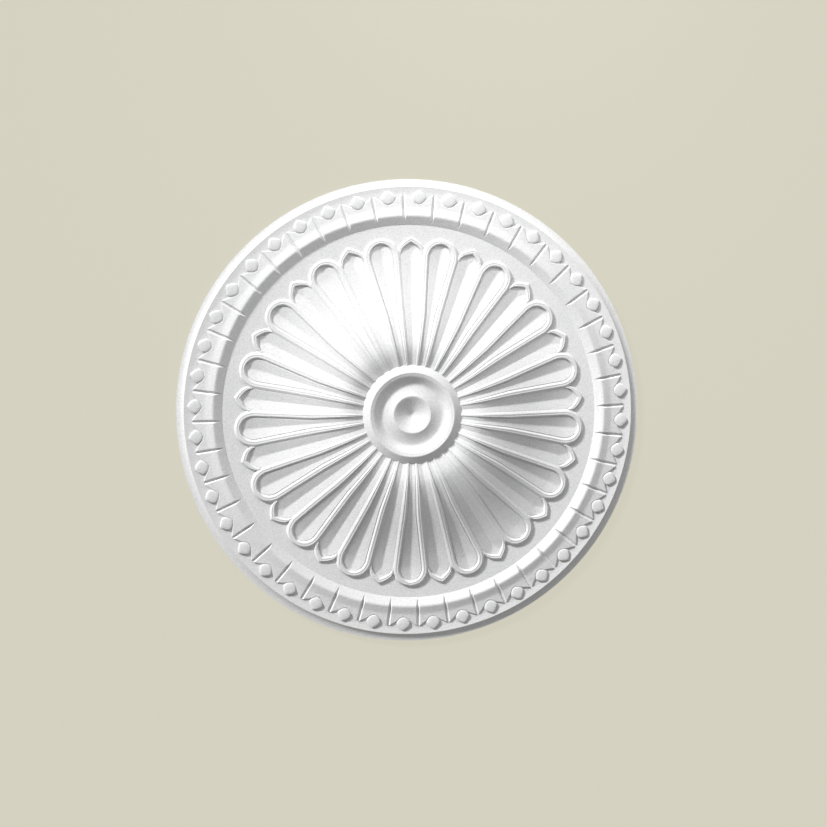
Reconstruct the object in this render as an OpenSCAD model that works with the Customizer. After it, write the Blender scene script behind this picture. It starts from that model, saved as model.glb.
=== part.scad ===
// Round moulded ceiling rose: a domed flower of rounded and pointed petals round a dished boss,
// inside a border of tongues and pellets. It lies on its flat back, face up, with the origin at
// the middle of the back and +Z out of the face.

/* [Overall] */
// Diameter over the outer edge
rose_d = 480; // [400:5:640]
// Thickness of the plate: the flat field and the sunk band of the border
plate_t = 6; // [4:0.2:6.8]

/* [Lip] */
// Height of the thin outer edge
edge_t = 3.6; // [2:0.2:5]
// Height of the lip's arris above the back
lip_h = 7.2; // [7:0.2:14]
// Width of the cove that falls from the arris to the outer edge
cove_w = 9.6; // [6:0.2:14]
// Width of the short slope inside the arris
lip_slope_w = 3.8; // [2:0.2:8]

/* [Border] */
// Number of tongues, and of pellets between their points
segments = 44; // [30:1:56]
// Clearance between the tongues' points and the foot of the lip
tongue_gap = 2; // [0.5:0.1:4]
// Height of the tongues' outer edge above the band
tongue_edge_h = 1.4; // [0.8:0.1:2]
// Depth of the notch between two points
notch_depth = 10.5; // [6:0.5:14]
// Distance from the tongues' points in to the crest of the ring
ring_outer_w = 22; // [18:0.2:30]
// Distance from the crest of the ring in to its foot
ring_inner_w = 9.4; // [6:0.2:14]
// Height of the ring's crest above the back
ring_h = 10.8; // [10:0.2:18]
// Radius of the ring's rounded crest
ring_crest_r = 4.5; // [2:0.5:6]
// Distance from the crest out to the knee, where the tongues flatten
knee_w = 8.2; // [7:0.2:12]
// Height of the knee above the band
knee_h = 2.3; // [2:0.1:3.5]
// Width of the cut between two tongues, at its mouth
cut_w = 2.8; // [1:0.2:5]
// Height of the bottom of that cut above the band
cut_floor_h = 0.6; // [0.2:0.1:0.7]

/* [Pellets] */
// Width of a pellet round the border
pellet_w = 13; // [8:0.5:16]
// Distance from a pellet's middle out to its point
pellet_point = 8.2; // [6:0.2:12]
// Distance from the foot of the lip in to a pellet's middle
pellet_in = 6.2; // [4:0.2:10]
// Gap between a pellet and the notch that arches round it
pellet_gap = 0.8; // [0.3:0.1:2]
// Height of a pellet above the band
pellet_h = 1.9; // [0.8:0.1:3]
// Width of the bevel at a pellet's two ends
pellet_bevel = 2.2; // [0.5:0.1:3]

/* [Flower] */
// Number of rounded petals, and of pointed ones between them
petals = 17; // [10:1:22]
// Share of the pitch that a rounded petal takes
petal_share = 0.62; // [0.5:0.01:0.72]
// Width of the flat field between the petals' tips and the ring
field_w = 13.6; // [4:0.2:40]
// Height of the petals' rims above the field at their tips
tip_h = 2; // [1.5:0.1:5]
// Height of the pointed petals' rims above the field at their tips
small_tip_h = 1.7; // [0.8:0.1:3]
// Height of the dome's crown above the back
crown_h = 28.5; // [20:0.5:50]
// Distance from the boss out to the crown
crown_w = 20; // [15:0.5:35]
// Depth of the hollow between the crown and the boss
hollow_depth = 3.5; // [2:0.5:6]
// Width of a petal's steep outer wall
wall_w = 1.3; // [0.8:0.1:2]
// Width of a petal's flat rim
rim_w = 3.4; // [2:0.1:4.5]
// Width of the step from the rim down to the valley
step_w = 1.6; // [0.8:0.1:2.5]
// Depth of that step
step_h = 1.2; // [0.4:0.1:1.5]
// Depth of the valley from that step to its crease
valley_depth = 2; // [0.5:0.1:2.5]
// Height of a rounded petal's rim over the pointed petal beside it
overlap_h = 1.2; // [0.6:0.1:2]
// Length of the slope that closes a valley at the tip
bow_len = 7.5; // [4:0.5:12]

/* [Boss] */
// Diameter of the boss at its foot
boss_d = 100.6; // [86:0.2:140]
// Height of the boss's crest above the back
boss_h = 28; // [22:0.5:50]
// Width of the sloping side of the boss
boss_side_w = 6.6; // [3:0.2:12]
// Width of the rounded crest
crest_w = 2.2; // [1:0.2:4]
// How far the crest's edges are rounded down
crest_drop = 0.3; // [0.1:0.1:1]
// Distance from the crest in to the bottom of the groove
groove_in = 12; // [8:0.5:16]
// Depth of the groove below the crest
groove_depth = 4.8; // [3:0.2:8]
// Radius of the small ring inside the groove
inner_ring_r = 19; // [12:0.2:21]
// Height of the small ring above the bottom of the groove
inner_ring_h = 2.8; // [1:0.2:6]
// Depth of the dimple below the small ring
dimple_depth = 6.6; // [2:0.2:10]

/* [Hidden] */

rose_r = rose_d / 2;
arris_r = rose_r - cove_w;
lip_foot_r = arris_r - lip_slope_w;
tongue_r = lip_foot_r - tongue_gap;
notch_r = tongue_r - notch_depth;
crest_r = tongue_r - ring_outer_w;
ring_foot_r = crest_r - ring_inner_w;
petal_r = ring_foot_r - field_w;
pellet_r = lip_foot_r - pellet_in;
tongue_edge_z = plate_t + tongue_edge_h;
segment_angle = 360 / segments;

boss_r = boss_d / 2;
boss_top_r = boss_r - boss_side_w;
boss_crest_r = boss_top_r - crest_w / 2;
boss_foot_z = crown_h - hollow_depth;
groove_r = boss_crest_r - groove_in;
groove_z = boss_h - groove_depth;
inner_ring_z = groove_z + inner_ring_h;
crown_r = boss_r + crown_w;
tip_z = plate_t + tip_h;

pitch = 360 / petals;
petal_angle = petal_share * pitch / 2;
// Each petal's first axis, and the first cut of the border, turn from +X by these angles
flower_turn = 15.8;
border_turn = 2.5;

// What stands on the plate runs down into it by this much
sink = 0.8;
// A line that runs into a round meets a circle of this share of its radius, so it crosses cleanly
under_round = 0.985;
// Insets of the four lines that follow a petal's outline: foot, rim outside, rim inside, valley
insets = [0, wall_w, wall_w + rim_w, wall_w + rim_w + step_w];
// How far a rounded tip is drawn out to a faint point, as a share of its radius
tip_draw = 0.1;
// How much of a pointed tip is straight
small_tip_straight = 0.45;
// Angle from a rounded tip's axis to the place where the pointed petal comes out
corner_angle = 72;
// How full the dome is on its way out from the crown
fullness = 0.8;
// Share of the relief that is left at the boss, and how far out it softens from
soft_relief = 0.45;
soft_relief_w = 1.5 * crown_w;
// Share of the widths of wall, rim and step that is left at the boss, and the same distance
soft_width = 0.42;
soft_width_w = 2.6 * crown_w;
// Power of the curves that round the dimple's middle and the groove's inner side
dimple_power = 1.15;
groove_power = 1.5;
// Points on each stretch of the boss's section
boss_steps = 6;
tip_span = tan(petal_angle) * (1 + tip_draw);
tip_centre = petal_r / (1 + tip_span);
tip_round = tip_centre * tan(petal_angle);

// Columns from the foot of a rounded petal to its crease, and inside half a pointed petal
big_half = 6;
small_half = 3;
// Rows that follow the tips, and rows from there in to the boss
cap_rows = len(insets);
inner_rows = 5;
rows = cap_rows + 1 + inner_rows;
last_line = cap_rows - 1;
// The flower ends inside the boss
last_row_r = boss_r - 1;
inner_foot_r = boss_top_r - 1;

// ---- the dome ----
function ease(u) = (1 - cos(180 * u)) / 2;
function dome(r) = r < crown_r
    ? boss_foot_z + hollow_depth * sin(90 * max(0, r - boss_r) / crown_w)
    : crown_h - (crown_h - tip_z) * ease(pow(min(1, (r - crown_r) / (petal_r - crown_r)), fullness));

// The relief softens towards the boss
function soften(r, share, width) = min(1, share + (1 - share) * (r - boss_r) / width);
function relief(r) = soften(r, soft_relief, soft_relief_w);

// ---- rounded petals: [distance out, angle from the petal's axis, height] ----
function row_r(j) = let (u = (j - cap_rows) / inner_rows)
    tip_centre - (tip_centre - last_row_r) * u;
function side_z(r) = dome(r) - overlap_h * relief(r);
// Beyond the rounded tips' centres the pointed rims rise towards their own tips
small_lift = small_tip_h - (tip_h - overlap_h);
function small_rim_z(r) = side_z(r) + small_lift * max(0, (r - tip_centre) / (petal_r - tip_centre));
function line_z(r, line) =
    line == 0 ? side_z(r) : line < last_line ? dome(r) : dome(r) - step_h * relief(r);
function crease_z(r) = dome(r) - (step_h + valley_depth) * relief(r);

function polar(x, y, z) = [norm([x, y]), atan2(y, x), z];
function draw(a) = 1 + tip_draw * (1 - a / corner_angle);
function round_a_tip(a, line) = let (s = tip_round * draw(a) - insets[line])
    [tip_centre + s * cos(a), s * sin(a)];

// The four rows that cross the tip, and the stretch of the side that belongs to them
function tip_row(i, j) = let (
        line = min(i, j),
        past = i < j ? (j - i) / (cap_rows - i) : 0,
        a = i >= j ? corner_angle * (big_half - i) / (big_half - j) : corner_angle,
        on = round_a_tip(a, line),
        to = [tip_centre, tip_round - insets[line]],
        xy = i >= j ? on : on + (to - on) * past,
        r = norm(xy)
    )
    polar(xy[0], xy[1], j == 0 ? plate_t - sink : line_z(r, line));

// From the inside of the step, the valley falls straight to the crease
function valley_share(i) = (big_half - i) / (big_half - last_line);
function across(i, r, half) = let (n = soften(r, soft_width, soft_width_w))
    i < cap_rows ? half - insets[i] * n : (half - insets[last_line] * n) * valley_share(i);
function field_z(i, r) = i < cap_rows ? line_z(r, i)
    : crease_z(r) + (line_z(r, last_line) - crease_z(r)) * valley_share(i);

function inner_row(i, j) = let (
        bow = j == cap_rows ? max(0, i - last_line) / (big_half - last_line) : 0,
        reach = tip_round * (1 + tip_draw) - insets[last_line] - bow_len,
        r = row_r(j) + bow * reach,
        y = across(i, row_r(j), row_r(j) * tan(petal_angle))
    )
    [r, atan2(y, r), field_z(i, r)];

function big_point(i, j) = j < cap_rows ? tip_row(i, j) : inner_row(i, j);

// ---- pointed petals, seen between the rounded ones: t runs from 0 at the axis to 1 ----
function small_point(t, j) = let (
        edge = big_point(0, j),
        turn = pitch / 2 - edge[1],
        x1 = edge[0] * cos(turn),
        y1 = edge[0] * sin(turn),
        x0 = petal_r - (j < cap_rows ? insets[j] : insets[last_line] + bow_len),
        f = (1 - small_tip_straight) * cos(90 * t) + small_tip_straight * (1 - t),
        x = j <= cap_rows ? x1 + (x0 - x1) * f : edge[0] * cos(turn * t),
        y = j <= cap_rows ? y1 * sin(90 * t) : edge[0] * sin(turn * t),
        r = norm([x, y]),
        full = j < last_line ? 0 : j == last_line ? step_h : step_h + valley_depth,
        down = j > last_line ? full * (1 - t) * relief(r) : full
    )
    polar(x, y, j == 0 ? plate_t - sink : (j > last_line ? side_z(r) : small_rim_z(r)) - down);

// ---- one closed skin: a fan of columns, each from the tips in to the boss and back below ----
columns = 2 * big_half + 2 * small_half;
function column_point(m, j) = m <= 2 * big_half
    ? let (p = big_point(min(m, 2 * big_half - m), j)) [p[0], sign(m - big_half) * p[1], p[2]]
    : let (k = m - 2 * big_half - small_half, p = small_point(abs(k) / small_half, j))
        [p[0], pitch / 2 + sign(k) * p[1], p[2]];
function under_point(m) = let (p = column_point(m, rows - 1)) [inner_foot_r, p[1], plate_t - sink];
function column(m) = [for (j = [0 : rows - 1]) column_point(m, j), under_point(m)];
function place(p, turn) = [p[0] * cos(p[1] + turn), p[0] * sin(p[1] + turn), p[2]];

module flower_skin() {
    ring_len = rows + 1;
    pitch_columns = [for (m = [0 : columns - 1]) column(m)];
    points = [for (k = [0 : petals - 1]) for (c = pitch_columns) for (p = c) place(p, k * pitch)];
    count = petals * columns;
    function at(c, j) = (c % count) * ring_len + (j % ring_len);
    faces = [for (c = [0 : count - 1]) for (j = [0 : ring_len - 1])
        let (a = at(c, j), b = at(c, j + 1), d = at(c + 1, j), e = at(c + 1, j + 1))
        each (c % columns < big_half ? [[a, e, d], [a, b, e]] : [[a, b, d], [d, b, e]])];
    polyhedron(points, faces, convexity = 10);
}

// ---- radial sections ----
// The back plate, the band and the lip with its cove
module plate_section() {
    rise = lip_h - edge_t;
    cove_r = (cove_w * cove_w + rise * rise) / (2 * rise);
    difference() {
        polygon([
            [0, 0],
            [rose_r, 0],
            [rose_r, lip_h],
            [arris_r, lip_h],
            [lip_foot_r, plate_t],
            [0, plate_t]
        ]);
        translate([rose_r, edge_t + cove_r]) circle(cove_r);
    }
}

// The ring: a slope up from the field, a rounded crest, a slope down to the knee, and the tongues
module ring_section() {
    centre = [crest_r, ring_h - ring_crest_r];
    foot = [ring_foot_r, plate_t];
    edge = [tongue_r, tongue_edge_z];
    in_touch = under_round_point(foot, centre, ring_crest_r, -1);
    knee = [crest_r + knee_w, plate_t + knee_h];
    out_touch = under_round_point(knee, centre, ring_crest_r, 1);
    root = foot + (foot - in_touch) * sink / (in_touch[1] - foot[1]);
    // The section runs on past the points, which the outline below trims
    past_r = tongue_r + tongue_gap / 2;
    difference() {
        union() {
            translate(centre) circle(ring_crest_r);
            polygon([
                root,
                in_touch,
                centre,
                out_touch,
                knee,
                edge,
                [past_r, edge[1]],
                [past_r, root[1]]
            ]);
        }
        translate([0, root[1] - 2 * ring_crest_r]) square([rose_r, 2 * ring_crest_r]);
    }
}

// Where a line from a point meets the round, just inside it
function under_round_point(from, centre, radius, side) = let (
        v = from - centre,
        a = atan2(v[1], v[0]) + side * acos(under_round * radius / norm(v))
    )
    centre + under_round * radius * [cos(a), sin(a)];

// Height of the boss's top: a rounded crest, a groove, a small ring and a dimple
function boss_crest_z(u) = boss_h - crest_drop * u * u;
function groove_side_z(u) = groove_z + (boss_h - crest_drop - groove_z) * ease(u);
function inner_side_z(u) = groove_z + inner_ring_h * pow(u, groove_power);
function dimple_z(u) = inner_ring_z - dimple_depth * (1 - pow(u, dimple_power));
function part_way(a, b, u) = a + (b - a) * u;

module boss_section() {
    crest_in = boss_crest_r - crest_w / 2;
    shares = [for (k = [0 : boss_steps - 1]) k / boss_steps];
    polygon(concat(
        [[0, plate_t / 2], [boss_r, plate_t / 2], [boss_r, boss_foot_z]],
        [for (u = shares) [boss_top_r - u * crest_w, boss_crest_z(1 - 2 * u)]],
        [for (u = shares) [part_way(crest_in, groove_r, u), groove_side_z(1 - u)]],
        [for (u = shares) [part_way(groove_r, inner_ring_r, u), inner_side_z(u)]],
        [for (u = shares) [inner_ring_r * (1 - u), dimple_z(1 - u)]],
        [[0, dimple_z(0)]]
    ));
}

// ---- border carving ----
// Outline of the tongues: a point at each cut, and midway a notch that arches round the pellet
module tongue_outline() {
    difference() {
        polygon([for (k = [0 : segments - 1]) each [
            tongue_r * [cos(k * segment_angle), sin(k * segment_angle)],
            notch_r * [cos((k + 0.5) * segment_angle), sin((k + 0.5) * segment_angle)]
        ]]);
        at_pellets() circle(pellet_w / 2 + pellet_gap);
    }
}

module at_pellets() {
    for (k = [0 : segments - 1]) rotate((k + 0.5) * segment_angle) translate([pellet_r, 0]) children();
}

// A V cut that runs level from the ring's foot out past a tongue's point
module cut() {
    floor_z = plate_t + cut_floor_h;
    depth = ring_h - floor_z;
    translate([ring_foot_r, 0, floor_z]) rotate([90, 0, 90])
        linear_extrude(ring_inner_w + ring_outer_w + tongue_gap)
            polygon([[0, 0], [cut_w, 2 * depth], [-cut_w, 2 * depth]]);
}

module pellet_outline() {
    touch = under_round_point([pellet_point, 0], [0, 0], pellet_w / 2, 1);
    circle(d = pellet_w);
    polygon([[0, 0], [touch[0], -touch[1]], [pellet_point, 0], touch]);
}

module pellet_section() {
    inner = pellet_r - pellet_w / 2;
    outer = pellet_r + pellet_point;
    top = plate_t + pellet_h;
    spread = pellet_bevel * sink / pellet_h;
    polygon([
        [inner - spread, plate_t - sink],
        [inner + pellet_bevel, top],
        [outer - pellet_bevel, top],
        [outer + spread, plate_t - sink]
    ]);
}

module ring() {
    difference() {
        intersection() {
            rotate_extrude($fn = 180) ring_section($fn = 48);
            linear_extrude(ring_h + 1) tongue_outline($fn = 48);
        }
        for (k = [0 : segments - 1]) rotate(k * segment_angle) cut();
    }
}

module pellets() {
    intersection() {
        rotate_extrude($fn = 180) pellet_section();
        linear_extrude(plate_t + pellet_h + 1)
            at_pellets() pellet_outline($fn = 32);
    }
}

module ceiling_rose() {
    color("white") {
        rotate_extrude($fn = 180) plate_section($fn = 48);
        rotate(border_turn) ring();
        rotate(border_turn) pellets();
        rotate_extrude($fn = 120) boss_section($fn = 64);
        rotate(flower_turn) flower_skin();
    }
}

ceiling_rose();
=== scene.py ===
import bpy
import math
from mathutils import Matrix, Vector


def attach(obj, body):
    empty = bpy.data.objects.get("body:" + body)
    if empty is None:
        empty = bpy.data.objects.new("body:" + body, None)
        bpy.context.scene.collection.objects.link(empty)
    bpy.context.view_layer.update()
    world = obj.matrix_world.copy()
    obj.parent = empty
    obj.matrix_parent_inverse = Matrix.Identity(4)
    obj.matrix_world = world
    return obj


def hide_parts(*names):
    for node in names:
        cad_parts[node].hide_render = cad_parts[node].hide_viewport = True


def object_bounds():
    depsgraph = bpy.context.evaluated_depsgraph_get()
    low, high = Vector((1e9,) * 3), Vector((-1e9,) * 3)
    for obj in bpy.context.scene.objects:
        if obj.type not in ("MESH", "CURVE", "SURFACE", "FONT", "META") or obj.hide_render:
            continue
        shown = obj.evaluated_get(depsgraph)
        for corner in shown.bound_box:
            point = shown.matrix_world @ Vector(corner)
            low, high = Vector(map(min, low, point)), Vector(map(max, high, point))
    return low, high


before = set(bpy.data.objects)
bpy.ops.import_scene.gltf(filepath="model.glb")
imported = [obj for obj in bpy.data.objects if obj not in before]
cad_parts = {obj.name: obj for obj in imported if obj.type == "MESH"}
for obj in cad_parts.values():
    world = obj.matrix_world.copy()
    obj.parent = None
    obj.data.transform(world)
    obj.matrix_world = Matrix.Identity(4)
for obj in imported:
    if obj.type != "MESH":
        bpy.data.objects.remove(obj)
boxLow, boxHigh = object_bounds()  # the casting's own box
mm = 0.001
print("frame loaded:", sorted(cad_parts))

# What the whole rose shares, in millimetres
boxMargin = 0.02       # the lip stays this far inside the casting's box
crownMargin = 0.5      # and the petals' crown this far under its top
rose = {
    "radius": min(boxHigh.x, boxHigh.y, -boxLow.x, -boxLow.y) / mm - boxMargin,
    "plateTop": 6.0,
    "sink": 0.8,       # how far a piece runs down into the plate
    "buried": 3.0,     # height of the flat undersides of the petals and the boss
    "bossRadius": 50.3,
}
seamReach = 0.000002   # in metres: points nearer than this are one


# Small helpers
def ease(u):
    return (1 - math.cos(math.pi * min(1, max(0, u)))) / 2


def mix(a, b, u):
    return a + (b - a) * u


def deselectAll():
    if bpy.context.object and bpy.context.object.mode != "OBJECT":
        bpy.ops.object.mode_set(mode="OBJECT")
    bpy.ops.object.select_all(action="DESELECT")


def makeActive(obj):
    deselectAll()
    obj.select_set(True)
    bpy.context.view_layer.objects.active = obj


def editMode(selectMode="VERT"):
    bpy.ops.object.mode_set(mode="EDIT")
    bpy.ops.mesh.select_mode(type=selectMode)
    bpy.ops.mesh.select_all(action="DESELECT")


def selectEdges(obj, test):
    # selection is set from object mode, by the numbers of an edge's two ends in the grid
    bpy.ops.object.mode_set(mode="OBJECT")
    for edge in obj.data.edges:
        edge.select = test(edge.vertices)
    bpy.ops.object.mode_set(mode="EDIT")


def closeSeams():
    bpy.ops.mesh.select_all(action="SELECT")
    bpy.ops.mesh.remove_doubles(threshold=seamReach)
    bpy.ops.mesh.select_all(action="SELECT")
    bpy.ops.mesh.normals_make_consistent(inside=False)
    bpy.ops.object.mode_set(mode="OBJECT")


def spinSection(name, points, steps):
    # a section in the XZ plane, drawn point by point, then spun round Z
    deselectAll()
    bpy.ops.mesh.primitive_plane_add(size=mm)
    obj = bpy.context.object
    obj.name = name
    bpy.ops.object.mode_set(mode="EDIT")
    bpy.ops.mesh.select_mode(type="VERT")
    bpy.ops.mesh.select_all(action="SELECT")
    bpy.ops.mesh.merge(type="CENTER")
    here = (0.0, 0.0)
    for count, there in enumerate(points):
        step = ((there[0] - here[0]) * mm, 0, (there[1] - here[1]) * mm)
        if count == 0:
            bpy.ops.transform.translate(value=step)
        else:
            bpy.ops.mesh.extrude_vertices_move(TRANSFORM_OT_translate={"value": step})
        here = there
    bpy.ops.mesh.select_all(action="SELECT")
    bpy.ops.mesh.spin(steps=steps, angle=2 * math.pi, center=(0, 0, 0), axis=(0, 0, 1))
    closeSeams()
    return obj


def placedGrid(name, columns, rows, pointAt):
    # a primitive grid whose crossings go where pointAt(column, row) says, in millimetres
    deselectAll()
    bpy.ops.mesh.primitive_grid_add(x_subdivisions=columns - 1, y_subdivisions=rows - 1, size=1)
    obj = bpy.context.object
    obj.name = name
    for index, vertex in enumerate(obj.data.vertices):
        vertex.co = Vector(pointAt(index % columns, index // columns)) * mm
    return obj


def creaseColumns(obj, columns, amounts):
    # amounts: how sharp each numbered line is that runs down the grid
    for column, amount in amounts.items():
        bpy.ops.object.mode_set(mode="EDIT")
        bpy.ops.mesh.select_mode(type="EDGE")
        selectEdges(obj, lambda ends: all(v % columns == column for v in ends))
        bpy.ops.transform.edge_crease(value=amount)
    bpy.ops.object.mode_set(mode="OBJECT")


def creaseRows(obj, columns, amounts):
    # the same for the lines that run across it
    for row, amount in amounts.items():
        bpy.ops.object.mode_set(mode="EDIT")
        bpy.ops.mesh.select_mode(type="EDGE")
        selectEdges(obj, lambda ends: all(v // columns == row for v in ends))
        bpy.ops.transform.edge_crease(value=amount)
    bpy.ops.object.mode_set(mode="OBJECT")


def shutBelow(obj, depth):
    # the open rim is drawn straight down, flattened, and closed underneath
    makeActive(obj)
    editMode("EDGE")
    bpy.ops.mesh.select_all(action="SELECT")
    bpy.ops.mesh.remove_doubles(threshold=seamReach)
    bpy.ops.mesh.select_all(action="DESELECT")
    bpy.ops.mesh.select_non_manifold(extend=False, use_wire=False, use_boundary=True,
                                     use_multi_face=False, use_non_contiguous=False, use_verts=False)
    bpy.ops.mesh.extrude_region_move(TRANSFORM_OT_translate={"value": (0, 0, -mm)})
    bpy.ops.transform.resize(value=(1, 1, 0), center_override=(0, 0, depth * mm))
    bpy.ops.mesh.edge_face_add()
    closeSeams()


def smoothOnce(obj):
    # one level of subdivision, held back by the creases
    makeActive(obj)
    smoother = obj.modifiers.new("smoother", "SUBSURF")
    smoother.levels = 1
    smoother.render_levels = 1
    bpy.ops.object.modifier_apply(modifier=smoother.name)


def copyRound(first, name, count, startAngle):
    # each copy gets a mesh of its own; they are joined into one piece
    copies = []
    for number in range(count):
        copy = first if number == count - 1 else first.copy()
        if copy is not first:
            copy.data = first.data.copy()
            bpy.context.collection.objects.link(copy)
        copies.append(copy)
    for number, copy in enumerate(copies):
        turn = math.radians(startAngle + number * 360 / count)
        copy.data.transform(Matrix.Rotation(turn, 4, "Z"))
    deselectAll()
    for copy in copies:
        copy.select_set(True)
    bpy.context.view_layer.objects.active = first
    bpy.ops.object.join()
    first.name = name
    return first


def finishPiece(obj, angle):
    makeActive(obj)
    bpy.ops.object.shade_smooth_by_angle(angle=math.radians(angle))
    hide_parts("ceiling_rose")
    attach(obj, "root")
    print("made", obj.name, len(obj.data.polygons), "faces")


# Plate with its lip and cove
lip = {
    "edge": 3.6,          # height of the thin outer edge
    "height": 6.65,       # height of the arris
    "coveWidth": 8.0,
    "slopeWidth": 5.6,    # the short slope inside the arris
    "soften": 0.35,       # rounding of the arris and of the slope's foot
    "backRound": 0.6,     # rounding of the back's outer corner
    "edgeRound": 0.3,     # rounding where the cove meets the outer edge
    "edgeBevel": 0.08,    # depth of that rounding at its middle
    "fieldSplit": 150.0,  # where the flat field is divided, so that its faces aren't needles
    "coveSteps": 8,
    "turnSteps": 264,
    "smoothAngle": 30,    # in degrees: edges that turn more than this stay sharp
}


def plateSection():
    r, top, soft = rose["radius"], rose["plateTop"], lip["soften"]
    arris = r - lip["coveWidth"]
    foot = arris - lip["slopeWidth"]
    rise = lip["height"] - lip["edge"]
    coveRadius = (lip["coveWidth"] ** 2 + rise ** 2) / (2 * rise)
    span = math.asin(lip["coveWidth"] / coveRadius)
    back, bevel = lip["backRound"], lip["edgeBevel"]
    points = [(0, 0), (r - back, 0), (r - back / 4, back / 4), (r, back)]
    points += [(r, lip["edge"] - lip["edgeRound"]), (r - bevel, lip["edge"] - bevel)]
    for step in range(1, lip["coveSteps"]):
        a = span * step / lip["coveSteps"]
        points.append((r - coveRadius * math.sin(a), lip["edge"] + coveRadius * (1 - math.cos(a))))
    # the arris is rounded in four points, placed in parts of soft, and the foot of the short slope in two
    slope = (lip["height"] - top) / lip["slopeWidth"]
    points += [(arris + soft, lip["height"] - soft * 0.75)]
    points += [(arris + soft * 0.35, lip["height"] - soft * 0.2)]
    points += [(arris - soft * 0.4, lip["height"] - soft * 0.15)]
    points += [(arris - soft * 1.5, lip["height"] - soft * 1.5 * slope - 0.03)]
    points += [(foot + soft, top + soft * slope * 0.6), (foot - soft, top)]
    points += [(lip["fieldSplit"], top), (0, top)]
    return points


plate = spinSection("plate_and_lip", plateSection(), lip["turnSteps"])
finishPiece(plate, lip["smoothAngle"])

# Border: a rounded ring that runs out into tongues, cut apart from one another
border = {
    "count": 44,
    "turn": 2.0,             # degrees from +X to the first cut
    "slopeOverlap": 0.2,     # how far the band's outer edge runs under the lip's slope
    "tongueGap": 2.0,        # from the band's outer edge in to the tongues' points
    "edgeHeight": 1.0,       # of the tongues' rim over the band
    "notchDepth": 11.2,
    "outerWidth": 22.0,      # from the points in to the crest
    "innerWidth": 9.4,       # from the crest in to the foot
    "ringHeight": 9.6,
    "crestRadius": 4.0,
    "kneeOut": 8.2,          # where the outer flank flattens into the skirt
    "kneeHeight": 7.7,
    "cutHalf": 2.0,          # half the width of the cut at its mouth
    "cutDepth": 2.6,
    "cutStart": 7.5,         # from the crest in to where the cut comes to a point
    "cutPower": 0.7,         # below 1 the cut opens fast from its point
    "cutFloor": 0.5,         # how far the cut may go under the plate's top
    "cutLeast": 0.00002,     # in radians: a cut never closes altogether
    "cutRound": 0.35,        # rounding of the tongues' sides at the cut
    "edgeSettle": 0.07,      # how far the tongues' rim sags before it turns over
    "edgeDrop": 0.35,        # how far it has turned down at the top of the wall
    "edgeOut": (0.28, 0.55, 0.75),     # how far the wall's top, foot and root stand out
    "wallFoot": 0.2,         # depth of the wall's foot under the plate's top
    "root": 2.4,             # depth of the ring's underside under it
    "pointSpread": 2.0,      # from the points in to the radius that spaces the rim's columns
    "joinReach": 0.02,       # points of two tongues nearer than this are one
    "smoothAngle": 38,       # in degrees: edges that turn more than this stay sharp
}
pellet = {
    "width": 14.4,           # from corner to corner
    "outerPower": 1.35,      # 1 gives a diamond and 2 a circle
    "innerPower": 1.7,
    "inside": 5.3,           # from the band's outer edge in to the middle
    "gap": 0.1,              # between a pellet and the notch round it
    "height": 1.9,
    "sides": 32,
    # each step's rise, in shares of the height, and its width, in shares of the one below
    "steps": ((0.4, 1), (0.25, 0.97), (0.13, 0.95), (0.1, 0.92), (0.08, 0.82), (0.09, 0.45)),
    "smoothAngle": 50,
}
bandEdge = rose["radius"] - lip["coveWidth"] - lip["slopeWidth"] + border["slopeOverlap"]
tongueRadius = bandEdge - border["tongueGap"]
crestRadius = tongueRadius - border["outerWidth"]
ringFoot = crestRadius - border["innerWidth"]
pelletRadius = bandEdge - pellet["inside"]
segment = 2 * math.pi / border["count"]
firstAxis = border["turn"] + math.degrees(segment) / 2     # in degrees, of the first pellet and notch


def ringHeight(r):
    # slope up from the field, round crest, steep outer flank, then the skirt of the tongues
    top, b = rose["plateTop"], border
    centre = b["ringHeight"] - b["crestRadius"]
    v = (ringFoot - crestRadius, top - centre)
    a = math.atan2(v[1], v[0]) - math.acos(b["crestRadius"] / math.hypot(*v))
    touch = (crestRadius + b["crestRadius"] * math.cos(a), centre + b["crestRadius"] * math.sin(a))
    knee = (crestRadius + b["kneeOut"], b["kneeHeight"])
    v = (knee[0] - crestRadius, knee[1] - centre)
    a = math.atan2(v[1], v[0]) + math.acos(b["crestRadius"] / math.hypot(*v))
    leave = (crestRadius + b["crestRadius"] * math.cos(a), centre + b["crestRadius"] * math.sin(a))
    if r < touch[0]:
        return mix(top, touch[1], (r - ringFoot) / (touch[0] - ringFoot))
    if r < leave[0]:
        return centre + math.sqrt(max(0, b["crestRadius"] ** 2 - (r - crestRadius) ** 2))
    if r < knee[0]:
        return mix(leave[1], knee[1], (r - leave[0]) / (knee[0] - leave[0]))
    return mix(knee[1], top + b["edgeHeight"], (r - knee[0]) / (tongueRadius - knee[0]))


def tongueEdge(y):
    # how far out the tongues reach at a distance y from a pellet's axis
    half = tongueRadius * math.sin(segment / 2)
    line = mix(tongueRadius - border["notchDepth"], tongueRadius * math.cos(segment / 2), abs(y) / half)
    arch = pellet["width"] / 2 + pellet["gap"]
    if abs(y) < arch:
        line = min(line, pelletRadius - math.sqrt(arch ** 2 - y * y))
    return line


# Rows of a tongue: over the ring from its foot, in millimetres, then in shares of the way to the rim
ringRows = [-1.6, 0, 1.6, 3.4, 5.2, 6.6, 7.6, 8.5, 9.4, 10.3, 11.2, 12.2, 13.6, 15.4, 17.2]
outRows = [0.2, 0.4, 0.6, 0.78, 0.9, 0.965, 1.0]
rimRow = len(ringRows) + len(outRows) - 1
evenColumns = 17       # spread evenly over the tongue, between the slopes of its two cuts
cutColumns = 3         # for each of those slopes
tongueColumnCount = evenColumns + 2 * cutColumns
tongueRowCount = rimRow + 1 + len(border["edgeOut"]) + 1


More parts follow.
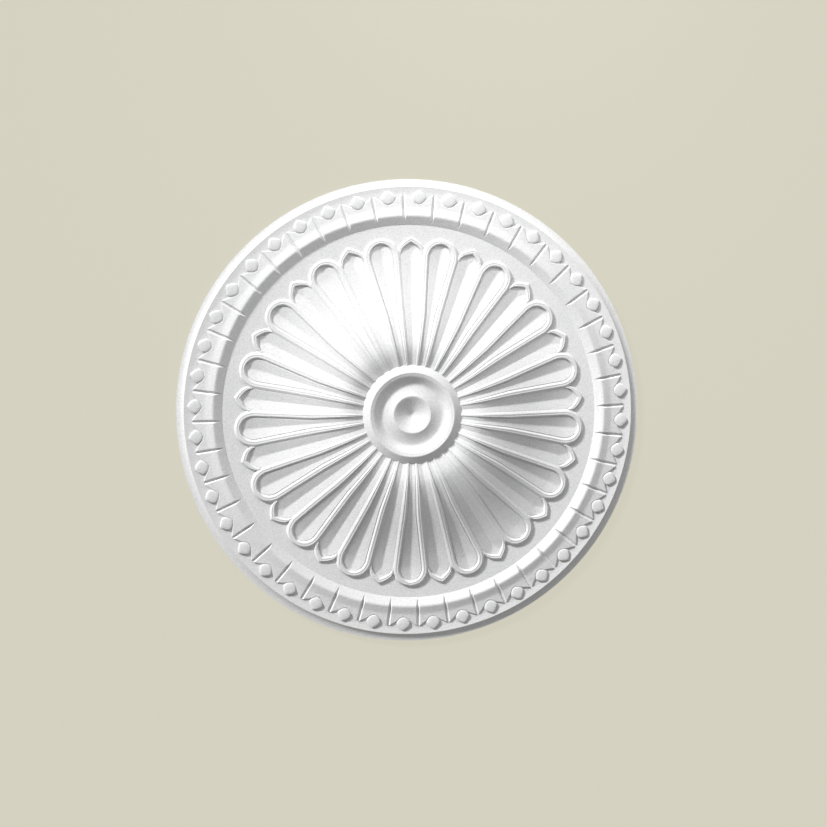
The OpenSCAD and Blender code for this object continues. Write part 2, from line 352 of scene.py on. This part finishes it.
def cutReach(r):
    # share of the cut's full width and depth at a radius
    share = (r - (crestRadius - border["cutStart"])) / border["cutStart"]
    return min(1, max(0, share)) ** border["cutPower"]


def tongueColumns(r):
    # angles across a tongue at a radius, from one cut's bottom to the next
    half = border["cutHalf"] * cutReach(r) / r + border["cutLeast"]
    inner = segment / 2 - half
    soft = inner - border["cutRound"] / r
    left = [-segment / 2, -inner, -soft]
    middle = [mix(-soft, soft, k / (evenColumns + 1)) for k in range(1, evenColumns + 1)]
    return left + middle + [soft, inner, segment / 2]


def wallPoint(column, place):
    # the wall's top, foot and root go down into the band, and the last place is back at the ring's foot
    b, top = border, rose["plateTop"]
    if place == len(b["edgeOut"]):
        r = ringFoot + ringRows[0]
        return r, tongueColumns(r)[column], top - b["root"]
    a = tongueColumns(tongueRadius - b["pointSpread"])[column]
    edge = tongueEdge(tongueRadius * math.sin(a)) / math.cos(a)
    z = (ringHeight(edge) - b["edgeDrop"], top - b["wallFoot"], top - b["root"])[place]
    return edge + b["edgeOut"][place], a, z


def tonguePoint(column, row):
    # a tongue reaches from one cut's bottom to the next, with its notch between its two points
    b, top = border, rose["plateTop"]
    if row > rimRow:
        r, a, z = wallPoint(column, row - rimRow - 1)
    elif row < len(ringRows):
        r = ringFoot + ringRows[row]
        a = tongueColumns(r)[column]
        z = ringHeight(r) if row else top - rose["sink"]
    else:
        start = ringFoot + ringRows[-1]
        share = outRows[row - len(ringRows)]
        a = tongueColumns(mix(start, tongueRadius - b["pointSpread"], share))[column]
        r = mix(start, tongueEdge(tongueRadius * math.sin(a)) / math.cos(a), share)
        z = ringHeight(r) - (b["edgeSettle"] if row == rimRow else 0)
    if column in (0, tongueColumnCount - 1) and 0 < row <= rimRow + 1:
        z = max(z - b["cutDepth"] * cutReach(r), top - b["cutFloor"])
    return r * math.cos(a), r * math.sin(a), z


tongue = placedGrid("tongue", tongueColumnCount, tongueRowCount, tonguePoint)
makeActive(tongue)
editMode("EDGE")
# the underside is bridged from the last row to the first
rowStarts = (0, (tongueRowCount - 1) * tongueColumnCount)
rowEdges = {(start + k, start + k + 1) for start in rowStarts for k in range(tongueColumnCount - 1)}
selectEdges(tongue, lambda ends: tuple(sorted(ends)) in rowEdges)
bpy.ops.mesh.bridge_edge_loops()
bpy.ops.object.mode_set(mode="OBJECT")
ring = copyRound(tongue, "border_ring", border["count"], firstAxis)
editMode()
bpy.ops.mesh.select_all(action="SELECT")
bpy.ops.mesh.remove_doubles(threshold=border["joinReach"] * mm)
closeSeams()
finishPiece(ring, border["smoothAngle"])


# Pellets in the notches: rounded inside, pointed outside
def dropOutline(a):
    # a squared circle stood on its corner: sharper towards the lip than towards the ring
    power = pellet["outerPower"] if abs(a) < math.pi / 2 else pellet["innerPower"]
    total = abs(math.cos(a)) ** power + abs(math.sin(a)) ** power
    return pellet["width"] / 2 / total ** (1 / power)


deselectAll()
bpy.ops.mesh.primitive_circle_add(vertices=pellet["sides"], radius=pellet["width"] / 2 * mm,
                                  fill_type="NGON")
drop = bpy.context.object
for vertex in drop.data.vertices:
    a = math.atan2(vertex.co.y, vertex.co.x)
    reach = dropOutline(a)
    vertex.co = Vector((pelletRadius + reach * math.cos(a), reach * math.sin(a),
                        rose["plateTop"] - rose["sink"])) * mm
editMode("FACE")
bpy.ops.mesh.select_all(action="SELECT")
middle = (pelletRadius * mm, 0, 0)
for number, (rise, share) in enumerate(pellet["steps"]):
    up = rise * pellet["height"] + (0 if number else rose["sink"])
    bpy.ops.mesh.extrude_region_move(TRANSFORM_OT_translate={"value": (0, 0, up * mm)})
    bpy.ops.transform.resize(value=(share, share, 1), center_override=middle)
closeSeams()
pellets = copyRound(drop, "pellets", border["count"], firstAxis)
finishPiece(pellets, pellet["smoothAngle"])

# Flower
flower = {
    "petals": 17,
    "turn": 15.8,            # degrees from +X to the first rounded petal
    "share": 0.645,          # of the pitch that a rounded petal takes
    "petalRadius": 182.5,
    "tipHeight": 2.0,        # of the rounded tips over the field
    "smallTipHeight": 1.7,   # of the pointed tips
    "crownHeight": boxHigh.z / mm - crownMargin,
    "crownWidth": 20.0,      # from the boss out to the crown
    "hollow": 3.5,           # depth between the crown and the boss
    "fullness": 0.8,         # below 1 the dome falls away sooner
    "tuck": 1.2,             # how far the petals run in under the boss
    "overlap": 0.8,          # rounded petals stand over the pointed ones by this much
    "footSink": 0.25,        # how far their foot runs into the pointed ones
    "reliefLeft": 0.45,      # share of the relief left at the boss
    "reliefRun": 30.0,       # from the boss out to where the relief is whole
    "narrowLeft": 0.42,      # the same two for the widths of rim, step and groove
    "narrowRun": 52.0,
    "wall": 2.0,
    "rim": 4.6,
    "step": 1.2,
    "stepDepth": 0.9,
    "grooveWidth": 0.7,
    "grooveDepth": 0.7,
    "valley": 0.19,          # slope of the valley's two sides
    "tipValley": 0.7,        # share of the valley's depth left at the petal's tip
    "tipRun": 15.0,          # how far in from the tip the valley has its full depth
    "rimCrown": 0.4,
    "rimLine": 0.3,          # depth of the faint line along the middle of a rim
    "smallStep": 0.1,        # what is left of the step where a pointed petal runs in between two others
    "tipDraw": 0.1,          # share of its radius by which a rounded tip is drawn out
    "capFullness": 0.88,     # below 1 the rounded tips are fuller than a circle
    "innerDraw": 1.5,        # how far the inner outline is drawn out to its point
    "innerDrawAngle": 50.0,  # degrees round the tip to where that begins
    "innerDrawPower": 1.5,   # above 1 the point is sharper
    "corner": 72.0,          # degrees round the tip to where the pointed petal's edge begins
    "smallPoint": 0.72,      # 0 rounds the pointed petals' tips, 1 makes them ogives
    "smallHalf": 11.5,       # widest half of a pointed petal's valley
    "smallLift": 19.5,       # from the tip in to where a pointed petal's rim begins to lift
    "smallFollow": 0.75,     # how far its lines move along the rounded petal's foot, for their width
    "smallBow": 9.0,         # length over which they turn from its outline to arcs round the boss
    "smoothAngle": 40,
}
bossRadius = rose["bossRadius"]
bossFoot = flower["crownHeight"] - flower["hollow"]
crownRadius = bossRadius + flower["crownWidth"]
pitch = 2 * math.pi / flower["petals"]
petalAngle = flower["share"] * pitch / 2
tipCentre = flower["petalRadius"] / (1 + math.tan(petalAngle) * (1 + flower["tipDraw"]))
tipRound = tipCentre * math.tan(petalAngle)
petalEnd = bossRadius - flower["tuck"]

# Lines that follow a petal's outline: its foot, five across the rim, the groove and the valley's edge
rimShares = (0, 0.27, 0.5, 0.75, 1)
rimLifts = (-0.25, 1, 1 - flower["rimLine"] / flower["rimCrown"], 1, 0)    # in parts of the rim's crown
rimMiddle, rimEnd = 3, 5      # numbers of two of those lines
lineWidths = [0] + [flower["wall"] + flower["rim"] * share for share in rimShares]
lineWidths.append(lineWidths[rimEnd] + flower["step"])
lineWidths.append(lineWidths[rimEnd] + flower["step"] + flower["grooveWidth"])
lastLine = len(lineWidths) - 1
lineCreases = {1: 0.4, rimMiddle: 0.3, rimEnd: 0.5, rimEnd + 1: 0.3, lastLine: 0.6}


def dome(r):
    f = flower
    if r < crownRadius:
        return bossFoot + f["hollow"] * math.sin(math.pi / 2 * max(0, r - bossRadius) / f["crownWidth"])
    u = min(1, (r - crownRadius) / (f["petalRadius"] - crownRadius))
    tip = rose["plateTop"] + f["tipHeight"]
    return f["crownHeight"] - (f["crownHeight"] - tip) * ease(u ** f["fullness"])


def relief(r):
    return min(1, mix(flower["reliefLeft"], 1, (r - bossRadius) / flower["reliefRun"]))


def narrowing(r):
    return min(1, mix(flower["narrowLeft"], 1, (r - bossRadius) / flower["narrowRun"]))


def petalTop(r):
    # height of the pointed petals' rims
    f = flower
    tipPart = max(0, (r - (f["petalRadius"] - f["smallLift"])) / f["smallLift"])
    lift = f["smallTipHeight"] - (f["tipHeight"] - f["overlap"])
    return dome(r) - f["overlap"] * relief(r) + lift * min(1, tipPart)


capAngles = [0, 5, 11, 18, 25, 33, 41, 49, 57, 65, 73, 82, 90]     # degrees from the tip round its cap
sideRows = 25          # from there in to the boss
valleyColumns = 3      # between the valley's edge and its crease
halfColumns = len(lineWidths) + valleyColumns


def bigLine(line, row):
    # a point of one of the lines that follow the rounded petal's outline
    f = flower
    width = lineWidths[line]
    if row < len(capAngles):
        a = math.radians(capAngles[row])
        draw = max(0, 1 - capAngles[row] / f["corner"])
        reach = tipRound * (1 + f["tipDraw"] * draw) - width
        if line > rimMiddle:
            nearTip = max(0, 1 - capAngles[row] / f["innerDrawAngle"]) ** f["innerDrawPower"]
            reach += f["innerDraw"] * (line - rimMiddle) / (lastLine - rimMiddle) * nearTip
        full = f["capFullness"]
        return tipCentre + reach * max(0, math.cos(a)) ** full, reach * math.sin(a) ** full
    u = (row - len(capAngles) + 1) / sideRows
    r = mix(tipCentre, petalEnd, u)
    return r, r * math.tan(petalAngle) - width * narrowing(r)


def floorHeight(x, y, row):
    # the valley: two slopes that meet on the petal's axis and run on to its tip
    f = flower
    half = tipRound - lineWidths[lastLine] if row < len(capAngles) else bigLine(lastLine, row)[1]
    share = mix(f["tipValley"], 1, ease((f["petalRadius"] - lineWidths[lastLine] - x) / f["tipRun"]))
    down = f["stepDepth"] * relief(x) + f["valley"] * share * max(0, half - y)
    return dome(math.hypot(x, y)) - down


def bigPoint(column, row):
    f = flower
    side = 1 if column >= halfColumns else -1
    inward = halfColumns - abs(column - halfColumns)     # 0 at the foot, halfColumns on the crease
    if inward > lastLine:
        x, y = bigLine(lastLine, row)
        y *= 1 - (inward - lastLine) / (valleyColumns + 1)
        return x, side * y, floorHeight(x, y, row)
    x, y = bigLine(inward, row)
    r = math.hypot(x, y)
    if inward == 0 and row < len(capAngles) and capAngles[row] <= f["corner"]:
        z = rose["plateTop"] - rose["sink"]
    elif inward == 0:
        z = dome(r) - f["overlap"] * relief(r) - f["footSink"]
    elif inward <= rimEnd:
        z = dome(r) + rimLifts[inward - 1] * f["rimCrown"] * relief(r)
    else:
        z = floorHeight(x, y, row) - (f["grooveDepth"] * relief(r) if inward == rimEnd + 1 else 0)
    return x, side * y, z


columns = 2 * halfColumns + 1
bigPetal = placedGrid("rounded_petal", columns, len(capAngles) + sideRows, bigPoint)
sharp = {}
for line, amount in (*lineCreases.items(), (halfColumns, 1.0)):
    sharp[line] = amount
    sharp[columns - 1 - line] = amount
creaseColumns(bigPetal, columns, sharp)
shutBelow(bigPetal, rose["buried"])
smoothOnce(bigPetal)
bigPetals = copyRound(bigPetal, "rounded_petals", flower["petals"], flower["turn"])
finishPiece(bigPetals, flower["smoothAngle"])

# Rows of a pointed petal: the same lines, rows that turn over to arcs, and arcs in to the boss
smallArcs = 20
smallRows = [("line", k) for k in range(len(lineWidths))]
smallRows += [("bow", share) for share in (0.25, 0.5, 0.75, 1.0)]
smallRows += [("arc", k / smallArcs) for k in range(1, smallArcs + 1)]
# Places across it: 0 is the crease and 1 the edge, past which it runs under the rounded petals
acrossSmall = [-1.12, -1, -0.86, -0.7, -0.52, -0.34, -0.17, 0, 0.17, 0.34, 0.52, 0.7, 0.86, 1, 1.12]


def besideBig(along):
    # a point on the rounded petal's foot, this far along from the corner where the two petals meet
    swing = math.radians(90 - flower["corner"]) * tipRound
    if along < swing:
        a = math.radians(flower["corner"]) + along / tipRound
        full = flower["capFullness"]
        x, y = tipCentre + tipRound * max(0, math.cos(a)) ** full, tipRound * math.sin(a) ** full
    else:
        x = tipCentre - (along - swing)
        y = x * math.tan(petalAngle)
    turn = pitch / 2 - math.atan2(y, x)
    r = math.hypot(x, y)
    return r * math.cos(turn), r * math.sin(turn)


def smallFloor(x, y):
    f = flower
    half = min(x * math.tan(pitch / 2 - petalAngle), f["smallHalf"])
    inward = ease((f["petalRadius"] - lineWidths[lastLine] - x) / f["tipRun"])
    step = mix(f["stepDepth"], f["smallStep"], inward)
    down = f["valley"] * mix(f["tipValley"], 1, inward) * max(0, half - y)
    return petalTop(math.hypot(x, y)) - step * relief(x) - down


def smallPoint(column, row):
    f = flower
    across = acrossSmall[column]
    kind, value = smallRows[row]
    u = min(1, abs(across))
    past = max(1, abs(across))
    side = 1 if across >= 0 else -1
    width = lineWidths[value if kind == "line" else lastLine]
    if kind == "arc":
        start = besideBig(f["smallFollow"] * width + f["smallBow"])
        r = mix(math.hypot(*start), petalEnd, value)
        turn = (pitch / 2 - petalAngle) * u * past
        x, y = r * math.cos(turn), r * math.sin(turn)
        return x, side * y, smallFloor(x, y)
    bow = f["smallBow"] * value if kind == "bow" else 0
    tipX = f["petalRadius"] - width - bow
    sideX, sideY = besideBig(f["smallFollow"] * width + bow)
    fold = mix(math.cos(math.pi / 2 * u), 1 - u, f["smallPoint"])
    x, y = mix(sideX, tipX, fold), sideY * math.sin(math.pi / 2 * u) * past
    if kind == "bow":
        z = smallFloor(x, y)
    elif value == 0:
        z = rose["plateTop"] - rose["sink"]
    elif value <= rimEnd:
        z = petalTop(math.hypot(x, y)) + rimLifts[value - 1] * f["rimCrown"]
    else:
        z = smallFloor(x, y) - (f["grooveDepth"] if value == rimEnd + 1 else 0)
    return x, side * y, z


smallColumns = len(acrossSmall)
smallPetal = placedGrid("pointed_petal", smallColumns, len(smallRows), smallPoint)
creaseColumns(smallPetal, smallColumns, {smallColumns // 2: 1.0})
creaseRows(smallPetal, smallColumns, lineCreases)
shutBelow(smallPetal, rose["buried"])
smoothOnce(smallPetal)
smallPetals = copyRound(smallPetal, "pointed_petals", flower["petals"],
                        flower["turn"] + math.degrees(pitch) / 2)
finishPiece(smallPetals, flower["smoothAngle"])

# Boss
boss = {
    "sideWidth": 6.6,
    "height": 28.0,
    "crestWidth": 2.2,
    "crestDrop": 0.3,        # how far the crest's two edges are rounded down
    "grooveIn": 12.0,        # from the crest in to the bottom of the hollow
    "grooveDepth": 4.8,
    "innerRing": 19.0,       # radius of the small ring inside it
    "innerRise": 2.8,        # of the small ring over the bottom of the hollow
    "risePower": 1.5,        # above 1 the hollow rises late towards the small ring
    "dimple": 6.6,           # depth below the small ring
    "dimplePower": 1.15,     # 1 makes the dimple a plain cone
    # the small ring's rounding: how far out from its radius, and how far down from its top
    "ringRound": ((0.8, 0.25), (0.35, 0.06), (-0.1, 0), (-0.7, 0.08), (-1.3, 0.25)),
    "sideSteps": 4,
    "crestSteps": 6,
    "grooveSteps": 12,
    "riseSteps": 10,
    "dimpleSteps": 12,
    "turnSteps": 144,
    "smoothAngle": 35,
}


def bossSection():
    b = boss
    topEdge = bossRadius - b["sideWidth"]
    crestIn = topEdge - b["crestWidth"]
    groove = topEdge - b["crestWidth"] / 2 - b["grooveIn"]
    grooveZ = b["height"] - b["grooveDepth"]
    innerZ = grooveZ + b["innerRise"]
    edgeZ = b["height"] - b["crestDrop"]
    smallRing = [(b["innerRing"] + out, innerZ - down) for out, down in b["ringRound"]]
    points = [(0, rose["buried"]), (bossRadius, rose["buried"]), (bossRadius, bossFoot)]
    for k in range(1, b["sideSteps"]):
        u = k / b["sideSteps"]
        points.append((mix(bossRadius, topEdge, u), mix(bossFoot, edgeZ, u)))
    for k in range(b["crestSteps"] + 1):
        u = k / b["crestSteps"]
        points.append((topEdge - u * b["crestWidth"], b["height"] - b["crestDrop"] * (1 - 2 * u) ** 2))
    for k in range(1, b["grooveSteps"] + 1):
        u = k / b["grooveSteps"]
        points.append((mix(crestIn, groove, u), grooveZ + (edgeZ - grooveZ) * ease(1 - u)))
    for k in range(1, b["riseSteps"] + 1):
        u = k / b["riseSteps"]
        points.append((mix(groove, smallRing[0][0], u), mix(grooveZ, smallRing[0][1], u ** b["risePower"])))
    points += smallRing[1:-1]
    dimpleR, dimpleZ = smallRing[-1]
    deepest = b["dimple"] - b["ringRound"][-1][1]
    for k in range(1, b["dimpleSteps"] + 1):
        u = 1 - k / b["dimpleSteps"]
        points.append((dimpleR * u, dimpleZ - deepest * (1 - u ** b["dimplePower"])))
    return points


bossPiece = spinSection("boss", bossSection(), boss["turnSteps"])
finishPiece(bossPiece, boss["smoothAngle"])

# Plaster
plaster = {
    "colour": (0.80, 0.80, 0.80),
    "shadeColour": (0.74, 0.745, 0.755),
    "toneScale": 14.0,       # broad, faint clouding
    "toneAmount": 0.35,
    "toneRange": (0.35, 0.75),
    "toneDetail": 5,
    "toneRoughness": 0.6,
    "grainScale": 620.0,
    "grainDetail": 4,
    "grainRoughness": 0.65,
    "grainTone": 0.13,       # how much darker the grain's low spots are
    "grainRange": (0.35, 0.6),
    "grainBump": 1.0,
    "bumpDepth": 0.0004,     # in metres
    "pitScale": 330.0,
    "pitAmount": 0.25,
    "pitEdge": (0.05, 0.2),
    "pitsLeft": 0.86,        # nearer 1 leaves fewer pits
    "roughness": 0.82,
    "roughnessSpread": 0.12,
    "specular": 0.25,
}


def newGroup(name, inputs, outputs):
    group = bpy.data.node_groups.new(name, "ShaderNodeTree")
    for label, kind, value in inputs:
        socket = group.interface.new_socket(name=label, in_out="INPUT", socket_type=kind)
        if value is not None:
            socket.default_value = value
    for label, kind in outputs:
        group.interface.new_socket(name=label, in_out="OUTPUT", socket_type=kind)
    nodes = group.nodes
    return group, nodes, group.links, nodes.new("NodeGroupInput"), nodes.new("NodeGroupOutput")


def mathNode(nodes, links, operation, first, second):
    node = nodes.new("ShaderNodeMath")
    node.operation = operation
    for socket, value in zip(node.inputs, (first, second)):
        if isinstance(value, (int, float)):
            socket.default_value = value
        else:
            links.new(value, socket)
    return node.outputs["Value"]


def mapRange(nodes, links, value, span, target, kind="LINEAR"):
    node = nodes.new("ShaderNodeMapRange")
    node.interpolation_type = kind
    node.inputs["From Min"].default_value, node.inputs["From Max"].default_value = span
    node.inputs["To Min"].default_value, node.inputs["To Max"].default_value = target
    links.new(value, node.inputs["Value"])
    return node.outputs["Result"]


def castGrain():
    # fine grain of cast plaster, less small pits, as a height
    group, nodes, links, start, end = newGroup(
        "castGrain",
        [("Vector", "NodeSocketVector", None), ("Grain Scale", "NodeSocketFloat", 900.0),
         ("Pit Scale", "NodeSocketFloat", 300.0), ("Pit Amount", "NodeSocketFloat", 0.3)],
        [("Height", "NodeSocketFloat")])
    grain = nodes.new("ShaderNodeTexNoise")
    grain.inputs["Detail"].default_value = plaster["grainDetail"]
    grain.inputs["Roughness"].default_value = plaster["grainRoughness"]
    links.new(start.outputs["Vector"], grain.inputs["Vector"])
    links.new(start.outputs["Grain Scale"], grain.inputs["Scale"])
    cells = nodes.new("ShaderNodeTexVoronoi")
    links.new(start.outputs["Vector"], cells.inputs["Vector"])
    links.new(start.outputs["Pit Scale"], cells.inputs["Scale"])
    pit = mapRange(nodes, links, cells.outputs["Distance"], plaster["pitEdge"], (1, 0), "SMOOTHSTEP")
    chosen = mathNode(nodes, links, "GREATER_THAN", cells.outputs["Color"], plaster["pitsLeft"])
    pits = mathNode(nodes, links, "MULTIPLY", pit, chosen)
    sunk = mathNode(nodes, links, "MULTIPLY", pits, start.outputs["Pit Amount"])
    height = mathNode(nodes, links, "SUBTRACT", grain.outputs["Fac"], sunk)
    links.new(height, end.inputs["Height"])
    return group


def faintClouds():
    # broad clouding of tone, as a mask
    group, nodes, links, start, end = newGroup(
        "faintClouds",
        [("Vector", "NodeSocketVector", None), ("Scale", "NodeSocketFloat", 14.0),
         ("Amount", "NodeSocketFloat", 0.3)],
        [("Mask", "NodeSocketFloat")])
    wide = nodes.new("ShaderNodeTexNoise")
    wide.inputs["Detail"].default_value = plaster["toneDetail"]
    wide.inputs["Roughness"].default_value = plaster["toneRoughness"]
    links.new(start.outputs["Vector"], wide.inputs["Vector"])
    links.new(start.outputs["Scale"], wide.inputs["Scale"])
    spread = mapRange(nodes, links, wide.outputs["Fac"], plaster["toneRange"], (0, 1), "SMOOTHSTEP")
    links.new(mathNode(nodes, links, "MULTIPLY", spread, start.outputs["Amount"]), end.inputs["Mask"])
    return group


def makePlaster():
    p = plaster
    material = bpy.data.materials.new("whitePlaster")
    material.use_nodes = True
    nodes, links = material.node_tree.nodes, material.node_tree.links
    shader = nodes["Principled BSDF"]
    shader.inputs["Specular IOR Level"].default_value = p["specular"]
    place = nodes.new("ShaderNodeTexCoord")
    grain = nodes.new("ShaderNodeGroup")
    grain.node_tree = castGrain()
    grain.inputs["Grain Scale"].default_value = p["grainScale"]
    grain.inputs["Pit Scale"].default_value = p["pitScale"]
    grain.inputs["Pit Amount"].default_value = p["pitAmount"]
    clouds = nodes.new("ShaderNodeGroup")
    clouds.node_tree = faintClouds()
    clouds.inputs["Scale"].default_value = p["toneScale"]
    clouds.inputs["Amount"].default_value = p["toneAmount"]
    for group in (grain, clouds):
        links.new(place.outputs["Object"], group.inputs["Vector"])
    tone = nodes.new("ShaderNodeMix")
    tone.data_type = "RGBA"
    tone.inputs["A"].default_value = (*p["colour"], 1)
    tone.inputs["B"].default_value = (*p["shadeColour"], 1)
    links.new(clouds.outputs["Mask"], tone.inputs["Factor"])
    specks = mapRange(nodes, links, grain.outputs["Height"], p["grainRange"], (1 - p["grainTone"], 1))
    grained = nodes.new("ShaderNodeVectorMath")
    grained.operation = "SCALE"
    links.new(tone.outputs["Result"], grained.inputs[0])
    links.new(specks, grained.inputs["Scale"])
    links.new(grained.outputs["Vector"], shader.inputs["Base Color"])
    roughest = p["roughness"] + p["roughnessSpread"]
    rough = mapRange(nodes, links, grain.outputs["Height"], (0, 1), (p["roughness"], roughest))
    links.new(rough, shader.inputs["Roughness"])
    bump = nodes.new("ShaderNodeBump")
    bump.inputs["Strength"].default_value = p["grainBump"]
    bump.inputs["Distance"].default_value = p["bumpDepth"]
    links.new(grain.outputs["Height"], bump.inputs["Height"])
    links.new(bump.outputs["Normal"], shader.inputs["Normal"])
    return material


whitePlaster = makePlaster()
for piece in (plate, ring, pellets, bigPetals, smallPetals, bossPiece):
    piece.data.materials.clear()
    piece.data.materials.append(whitePlaster)
print("plaster on every piece")

# Floor, light and camera
studio = {
    "floorColour": (0.672, 0.651, 0.539),
    "floorGlow": 0.92,          # share of the floor's tone that it gives off itself
    "floorSize": 60,
    "floorGap": 0.0004,         # between the floor and the rose's back
    "keyAzimuth": 135.0,
    "keyElevation": 19.5,
    "keyDistance": 2,
    "keyStrength": 4.7,
    "keySoftness": 7.0,         # degrees across
    "fill": 0.285,
    "sideStrength": 1.7,        # soft light from beside the rose
    "sidePlace": (0.1, 0.55, 0.3),
    "sideSize": 0.4,
}
deselectAll()
bpy.ops.mesh.primitive_plane_add(size=studio["floorSize"], location=(0, 0, -studio["floorGap"]))
floor = bpy.context.object
floor.name = "floor"
floorPaint = bpy.data.materials.new("paleFloor")
floorPaint.use_nodes = True
paint = floorPaint.node_tree.nodes["Principled BSDF"]
litColour = [c * (1 - studio["floorGlow"]) for c in studio["floorColour"]]
paint.inputs["Base Color"].default_value = (*litColour, 1)
paint.inputs["Roughness"].default_value = 1
paint.inputs["Specular IOR Level"].default_value = 0
paint.inputs["Emission Color"].default_value = (*studio["floorColour"], 1)
paint.inputs["Emission Strength"].default_value = studio["floorGlow"]
floor.data.materials.append(floorPaint)

elevation, azimuth = math.radians(studio["keyElevation"]), math.radians(studio["keyAzimuth"])
towardsKey = Vector((math.cos(elevation) * math.cos(azimuth), math.cos(elevation) * math.sin(azimuth),
                     math.sin(elevation)))
bpy.ops.object.light_add(type="SUN", location=towardsKey * studio["keyDistance"])
key = bpy.context.object
key.name = "key_light"
key.data.energy = studio["keyStrength"]
key.data.angle = math.radians(studio["keySoftness"])
key.rotation_euler = towardsKey.to_track_quat("Z", "Y").to_euler()

bpy.ops.object.light_add(type="AREA", location=studio["sidePlace"])
sideLight = bpy.context.object
sideLight.name = "side_light"
sideLight.data.energy = studio["sideStrength"]
sideLight.data.size = studio["sideSize"]
sideLight.rotation_euler = Vector(studio["sidePlace"]).to_track_quat("Z", "Y").to_euler()

world = bpy.data.worlds.new("studioFill")
bpy.context.scene.world = world
world.use_nodes = True
background = world.node_tree.nodes["Background"]
background.inputs["Color"].default_value = (1, 1, 1, 1)
background.inputs["Strength"].default_value = studio["fill"]
bpy.context.scene.view_settings.view_transform = "Standard"

view = {
    "distance": 1.056,       # in metres
    "tilt": 5.68,            # degrees from the rose's axis
    "azimuth": 137.3,        # the side it is tilted towards, from +X
    "aim": (0.0031, -0.0005, 0.0),
    "lens": 44.14,
    "sensor": 36,
}
tilt, around = math.radians(view["tilt"]), math.radians(view["azimuth"])
eye = Vector((math.sin(tilt) * math.cos(around), math.sin(tilt) * math.sin(around), math.cos(tilt)))
eye *= view["distance"]
forward = (Vector(view["aim"]) - eye).normalized()
right = forward.cross(Vector((0, 1, 0))).normalized()
upward = right.cross(forward)
bpy.ops.object.camera_add(location=eye)
camera = bpy.context.object
camera.name = "camera"
camera.matrix_world = Matrix((
    (right.x, upward.x, -forward.x, eye.x),
    (right.y, upward.y, -forward.y, eye.y),
    (right.z, upward.z, -forward.z, eye.z),
    (0, 0, 0, 1)))
camera.data.sensor_width = view["sensor"]
camera.data.lens = view["lens"]
bpy.context.scene.camera = camera
print("light and camera set")
